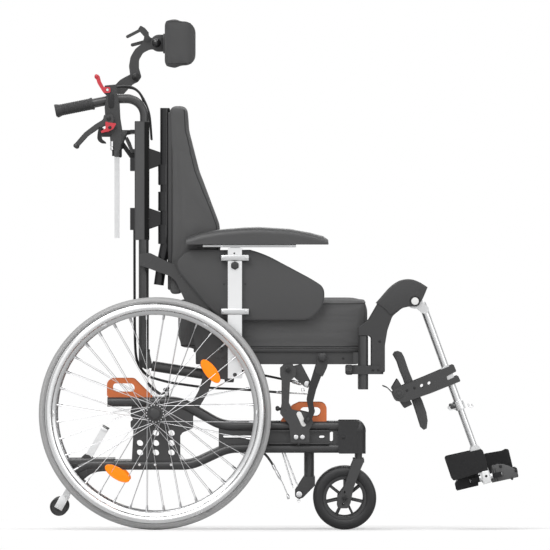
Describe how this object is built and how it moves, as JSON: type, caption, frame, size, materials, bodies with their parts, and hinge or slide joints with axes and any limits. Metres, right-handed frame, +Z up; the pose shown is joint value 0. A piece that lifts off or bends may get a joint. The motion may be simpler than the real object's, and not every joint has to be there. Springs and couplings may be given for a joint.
{
  "type": "tilt-in-space wheelchair",
  "caption": "Manual wheelchair whose seat tilts on sliding carriages, with reclining winged back, headrest, armrests, elevating leg rests, large rear wheels, front casters and anti-tip wheels.",
  "frame": {"origin": "on the floor, under the middle of the chair's bounding box", "axes": "+X is forward, +Y is to the chair's left, +Z is up; the middle plane of the chair is Y = 0"},
  "size_m": [1.2581, 0.656, 1.3405],
  "materials": {
    "frame_black": "black powder coat",
    "satin_aluminium": "satin anodised",
    "bright_steel": "polished",
    "loop_orange": "satin paint",
    "moulded_black": "fine texture",
    "cover_grey": "tight knitted cover",
    "panel_grey": "fine grain vinyl",
    "arm_pad_grey": "matt foam skin",
    "tyre_grey": "matt grey rubber",
    "caster_tread": "matt dark grey rubber",
    "grip_rubber": "ribbed rubber",
    "cable_black": "smooth sleeve",
    "lever_red": "moulded"
  },
  "bodies": {
    "chassis": {"side_frames": "frame_black", "cross_tubes": "frame_black", "tie_down_loops": "loop_orange", "caster_housings": "moulded_black"},
    "tilt_carriage": {"tilt_carriages": "frame_black"},
    "rear_links": {"rear_links": "frame_black"},
    "tilt_spring_cylinder": {"tilt_spring_cylinder": "frame_black"},
    "tilt_spring_rod": {"tilt_spring_rod": "bright_steel"},
    "seat": {"seat_frame": "frame_black", "seat_cushion": "cover_grey", "recline_plates": "frame_black", "armrest_posts": "satin_aluminium", "side_panels": "panel_grey", "seat_cables": "cable_black"},
    "back": {"back_posts": "frame_black", "push_grips": "grip_rubber", "back_frame": "frame_black", "back_cushion": "cover_grey", "lever_housings": "moulded_black", "back_cables": "cable_black"},
    "recline_spring_cylinders": {"recline_spring_cylinders": "frame_black"},
    "recline_spring_rods": {"recline_spring_rods": "bright_steel"},
    "headrest_rod": {"headrest_rod": "bright_steel"},
    "headrest_arm": {"headrest_arm": "moulded_black"},
    "headrest_lever": {"headrest_lever": "moulded_black"},
    "headrest_pad": {"headrest_pad": "cover_grey"},
    "rear_wheel_right": {"rear_tyre_right": "tyre_grey", "rear_wheel_right": "satin_aluminium"},
    "caster_fork_right": {"caster_fork_right": "frame_black"},
    "caster_wheel_right": {"caster_wheel_right": "caster_tread"},
    "antitip_bar_right": {"antitip_bar_right": "satin_aluminium"},
    "antitip_wheel_right": {"antitip_wheel_right": "grip_rubber"},
    "armrest_pad_right": {"armrest_pad_right": "arm_pad_grey"},
    "brake_lever_right": {"brake_lever_right": "moulded_black"},
    "tilt_lever_right": {"tilt_lever_right": "lever_red"},
    "recline_trigger_right": {"recline_trigger_right": "lever_red"},
    "parking_lever_right": {"parking_lever_right": "frame_black"},
    "leg_hanger_right": {"leg_hanger_right": "moulded_black"},
    "leg_tube_right": {"leg_tube_right": "satin_aluminium", "calf_arm_right": "frame_black"},
    "calf_rest_right": {"calf_rest_right": "cover_grey"},
    "lower_leg_right": {"lower_leg_right": "satin_aluminium"},
    "footplate_right": {"footplate_right": "moulded_black"},
    "rear_wheel_left": {"rear_tyre_left": "tyre_grey", "rear_wheel_left": "satin_aluminium"},
    "caster_fork_left": {"caster_fork_left": "frame_black"},
    "caster_wheel_left": {"caster_wheel_left": "caster_tread"},
    "antitip_bar_left": {"antitip_bar_left": "satin_aluminium"},
    "antitip_wheel_left": {"antitip_wheel_left": "grip_rubber"},
    "armrest_pad_left": {"armrest_pad_left": "arm_pad_grey"},
    "brake_lever_left": {"brake_lever_left": "moulded_black"},
    "tilt_lever_left": {"tilt_lever_left": "lever_red"},
    "recline_trigger_left": {"recline_trigger_left": "lever_red"},
    "parking_lever_left": {"parking_lever_left": "frame_black"},
    "leg_hanger_left": {"leg_hanger_left": "moulded_black"},
    "leg_tube_left": {"leg_tube_left": "satin_aluminium", "calf_arm_left": "frame_black"},
    "calf_rest_left": {"calf_rest_left": "cover_grey"},
    "lower_leg_left": {"lower_leg_left": "satin_aluminium"},
    "footplate_left": {"footplate_left": "moulded_black"}
  },
  "joints": [
    {"name": "tilt_carriage_slide", "type": "slide", "parent": "chassis", "child": "tilt_carriage", "axis": [1, 0, 0], "range_m": [0, 0.0478]},
    {"name": "seat_tilt", "type": "hinge", "parent": "tilt_carriage", "child": "seat", "pos_m": [0.025, 0, 0.4195], "axis": [0, -1, 0], "range_deg": [0, 25]},
    {"name": "rear_link_swing", "type": "hinge", "parent": "chassis", "child": "rear_links", "pos_m": [-0.257, 0, 0.2865], "axis": [0, 1, 0], "range_deg": [0, 46.71]},
    {"name": "tilt_spring_swing", "type": "hinge", "parent": "chassis", "child": "tilt_spring_cylinder", "pos_m": [-0.041, 0, 0.242], "axis": [0, 1, 0], "range_deg": [0, 22.66]},
    {"name": "tilt_spring_slide", "type": "slide", "parent": "tilt_spring_cylinder", "child": "tilt_spring_rod", "axis": [-0.1361, 0, 0.9907], "range_m": [-0.03421, 0]},
    {"name": "back_recline", "type": "hinge", "parent": "seat", "child": "back", "pos_m": [-0.154, 0, 0.4735], "axis": [0, -1, 0], "range_deg": [0, 30]},
    {"name": "recline_spring_swing", "type": "hinge", "parent": "back", "child": "recline_spring_cylinders", "pos_m": [-0.3465, 0, 0.4315], "axis": [0, -1, 0], "range_deg": [-2.58, 0]},
    {"name": "recline_spring_slide", "type": "slide", "parent": "recline_spring_cylinders", "child": "recline_spring_rods", "axis": [0.9875, 0, -0.1577], "range_m": [-0.04046, 0]},
    {"name": "headrest_height", "type": "slide", "parent": "back", "child": "headrest_rod", "axis": [0, 0, 1], "range_m": [-0.03, 0.07]},
    {"name": "headrest_arm_tilt", "type": "hinge", "parent": "headrest_rod", "child": "headrest_arm", "pos_m": [-0.3755, 0, 1.1905], "axis": [0, 1, 0], "range_deg": [-20, 20]},
    {"name": "headrest_pad_tilt", "type": "hinge", "parent": "headrest_arm", "child": "headrest_pad", "pos_m": [-0.3215, 0, 1.28], "axis": [0, 1, 0], "range_deg": [-20, 20]},
    {"name": "headrest_lever_turn", "type": "hinge", "parent": "headrest_arm", "child": "headrest_lever", "pos_m": [-0.3465, 0, 1.293], "axis": [0, -1, 0], "range_deg": [0, 40]},
    {"name": "rear_wheel_spin_right", "type": "hinge", "parent": "chassis", "child": "rear_wheel_right", "pos_m": [-0.3241, -0.282, 0.305], "axis": [0, 1, 0], "continuous": true},
    {"name": "caster_swivel_right", "type": "hinge", "parent": "chassis", "child": "caster_fork_right", "pos_m": [0.2105, -0.232, 0.1], "axis": [0, 0, 1], "continuous": true},
    {"name": "caster_spin_right", "type": "hinge", "parent": "caster_fork_right", "child": "caster_wheel_right", "pos_m": [0.174, -0.232, 0.083], "axis": [0, 1, 0], "continuous": true},
    {"name": "antitip_height_right", "type": "slide", "parent": "chassis", "child": "antitip_bar_right", "axis": [0.5027, 0, 0.8644], "range_m": [0, 0.05]},
    {"name": "antitip_spin_right", "type": "hinge", "parent": "antitip_bar_right", "child": "antitip_wheel_right", "pos_m": [-0.5765, -0.224, 0.06], "axis": [0, 1, 0], "continuous": true},
    {"name": "armrest_height_right", "type": "slide", "parent": "seat", "child": "armrest_pad_right", "axis": [0, 0, 1], "range_m": [0, 0.08]},
    {"name": "parking_lever_turn_right", "type": "hinge", "parent": "tilt_carriage", "child": "parking_lever_right", "pos_m": [0.0775, -0.258, 0.2905], "axis": [0, 1, 0], "range_deg": [0, 30]},
    {"name": "tilt_lever_press_right", "type": "hinge", "parent": "back", "child": "tilt_lever_right", "pos_m": [-0.4495, -0.2, 1.155], "axis": [0, -1, 0], "range_deg": [0, 15], "stiffness_Nm_per_rad": 0.5, "springref_deg": -5.73},
    {"name": "brake_lever_squeeze_right", "type": "hinge", "parent": "back", "child": "brake_lever_right", "pos_m": [-0.4455, -0.206, 1.0795], "axis": [0, 1, 0], "range_deg": [0, 18], "stiffness_Nm_per_rad": 2, "springref_deg": -8.59},
    {"name": "recline_trigger_pull_right", "type": "hinge", "parent": "back", "child": "recline_trigger_right", "pos_m": [-0.443, -0.212, 1.056], "axis": [0, 1, 0], "range_deg": [0, 12], "stiffness_Nm_per_rad": 0.5, "springref_deg": -5.73},
    {"name": "leg_swing_right", "type": "hinge", "parent": "seat", "child": "leg_hanger_right", "pos_m": [0.2225, -0.226, 0.45], "axis": [0, 0, -1], "range_deg": [0, 90]},
    {"name": "leg_elevate_right", "type": "hinge", "parent": "leg_hanger_right", "child": "leg_tube_right", "pos_m": [0.3585, -0.199, 0.6], "axis": [0, -1, 0], "range_deg": [0, 70]},
    {"name": "leg_length_right", "type": "slide", "parent": "leg_tube_right", "child": "lower_leg_right", "axis": [0.3411, 0, -0.94], "range_m": [-0.03, 0.06]},
    {"name": "calf_pad_turn_right", "type": "hinge", "parent": "leg_tube_right", "child": "calf_rest_right", "pos_m": [0.316, -0.19, 0.3565], "axis": [0, 1, 0], "range_deg": [-10, 10]},
    {"name": "footplate_flip_right", "type": "hinge", "parent": "lower_leg_right", "child": "footplate_right", "pos_m": [0.5455, -0.174, 0.1365], "axis": [0.9744, 0, 0.225], "range_deg": [0, 85]},
    {"name": "rear_wheel_spin_left", "type": "hinge", "parent": "chassis", "child": "rear_wheel_left", "pos_m": [-0.3241, 0.282, 0.305], "axis": [0, 1, 0], "continuous": true},
    {"name": "caster_swivel_left", "type": "hinge", "parent": "chassis", "child": "caster_fork_left", "pos_m": [0.2105, 0.232, 0.1], "axis": [0, 0, 1], "continuous": true},
    {"name": "caster_spin_left", "type": "hinge", "parent": "caster_fork_left", "child": "caster_wheel_left", "pos_m": [0.174, 0.232, 0.083], "axis": [0, 1, 0], "continuous": true},
    {"name": "antitip_height_left", "type": "slide", "parent": "chassis", "child": "antitip_bar_left", "axis": [0.5027, 0, 0.8644], "range_m": [0, 0.05]},
    {"name": "antitip_spin_left", "type": "hinge", "parent": "antitip_bar_left", "child": "antitip_wheel_left", "pos_m": [-0.5765, 0.224, 0.06], "axis": [0, 1, 0], "continuous": true},
    {"name": "armrest_height_left", "type": "slide", "parent": "seat", "child": "armrest_pad_left", "axis": [0, 0, 1], "range_m": [0, 0.08]},
    {"name": "parking_lever_turn_left", "type": "hinge", "parent": "tilt_carriage", "child": "parking_lever_left", "pos_m": [0.0775, 0.258, 0.2905], "axis": [0, 1, 0], "range_deg": [0, 30]},
    {"name": "tilt_lever_press_left", "type": "hinge", "parent": "back", "child": "tilt_lever_left", "pos_m": [-0.4495, 0.2, 1.155], "axis": [0, -1, 0], "range_deg": [0, 15], "stiffness_Nm_per_rad": 0.5, "springref_deg": -5.73},
    {"name": "brake_lever_squeeze_left", "type": "hinge", "parent": "back", "child": "brake_lever_left", "pos_m": [-0.4455, 0.206, 1.0795], "axis": [0, 1, 0], "range_deg": [0, 18], "stiffness_Nm_per_rad": 2, "springref_deg": -8.59},
    {"name": "recline_trigger_pull_left", "type": "hinge", "parent": "back", "child": "recline_trigger_left", "pos_m": [-0.443, 0.212, 1.056], "axis": [0, 1, 0], "range_deg": [0, 12], "stiffness_Nm_per_rad": 0.5, "springref_deg": -5.73},
    {"name": "leg_swing_left", "type": "hinge", "parent": "seat", "child": "leg_hanger_left", "pos_m": [0.2225, 0.226, 0.45], "axis": [0, 0, 1], "range_deg": [0, 90]},
    {"name": "leg_elevate_left", "type": "hinge", "parent": "leg_hanger_left", "child": "leg_tube_left", "pos_m": [0.3585, 0.199, 0.6], "axis": [0, -1, 0], "range_deg": [0, 70]},
    {"name": "leg_length_left", "type": "slide", "parent": "leg_tube_left", "child": "lower_leg_left", "axis": [0.3411, 0, -0.94], "range_m": [-0.03, 0.06]},
    {"name": "calf_pad_turn_left", "type": "hinge", "parent": "leg_tube_left", "child": "calf_rest_left", "pos_m": [0.316, 0.19, 0.3565], "axis": [0, 1, 0], "range_deg": [-10, 10]},
    {"name": "footplate_flip_left", "type": "hinge", "parent": "lower_leg_left", "child": "footplate_left", "pos_m": [0.5455, 0.174, 0.1365], "axis": [-0.9744, 0, -0.225], "range_deg": [0, 85]}
  ],
  "couplings": [
    {"joint": "tilt_carriage_slide", "follows": "seat_tilt", "m_per_rad": 0.10954},
    {"joint": "rear_link_swing", "follows": "seat_tilt", "ratio": 1.8684},
    {"joint": "tilt_spring_swing", "follows": "seat_tilt", "ratio": 0.90632},
    {"joint": "tilt_spring_slide", "follows": "seat_tilt", "m_per_rad": -0.078405},
    {"joint": "recline_spring_swing", "follows": "back_recline", "ratio": -0.085858},
    {"joint": "recline_spring_slide", "follows": "back_recline", "m_per_rad": -0.077279}
  ]
}
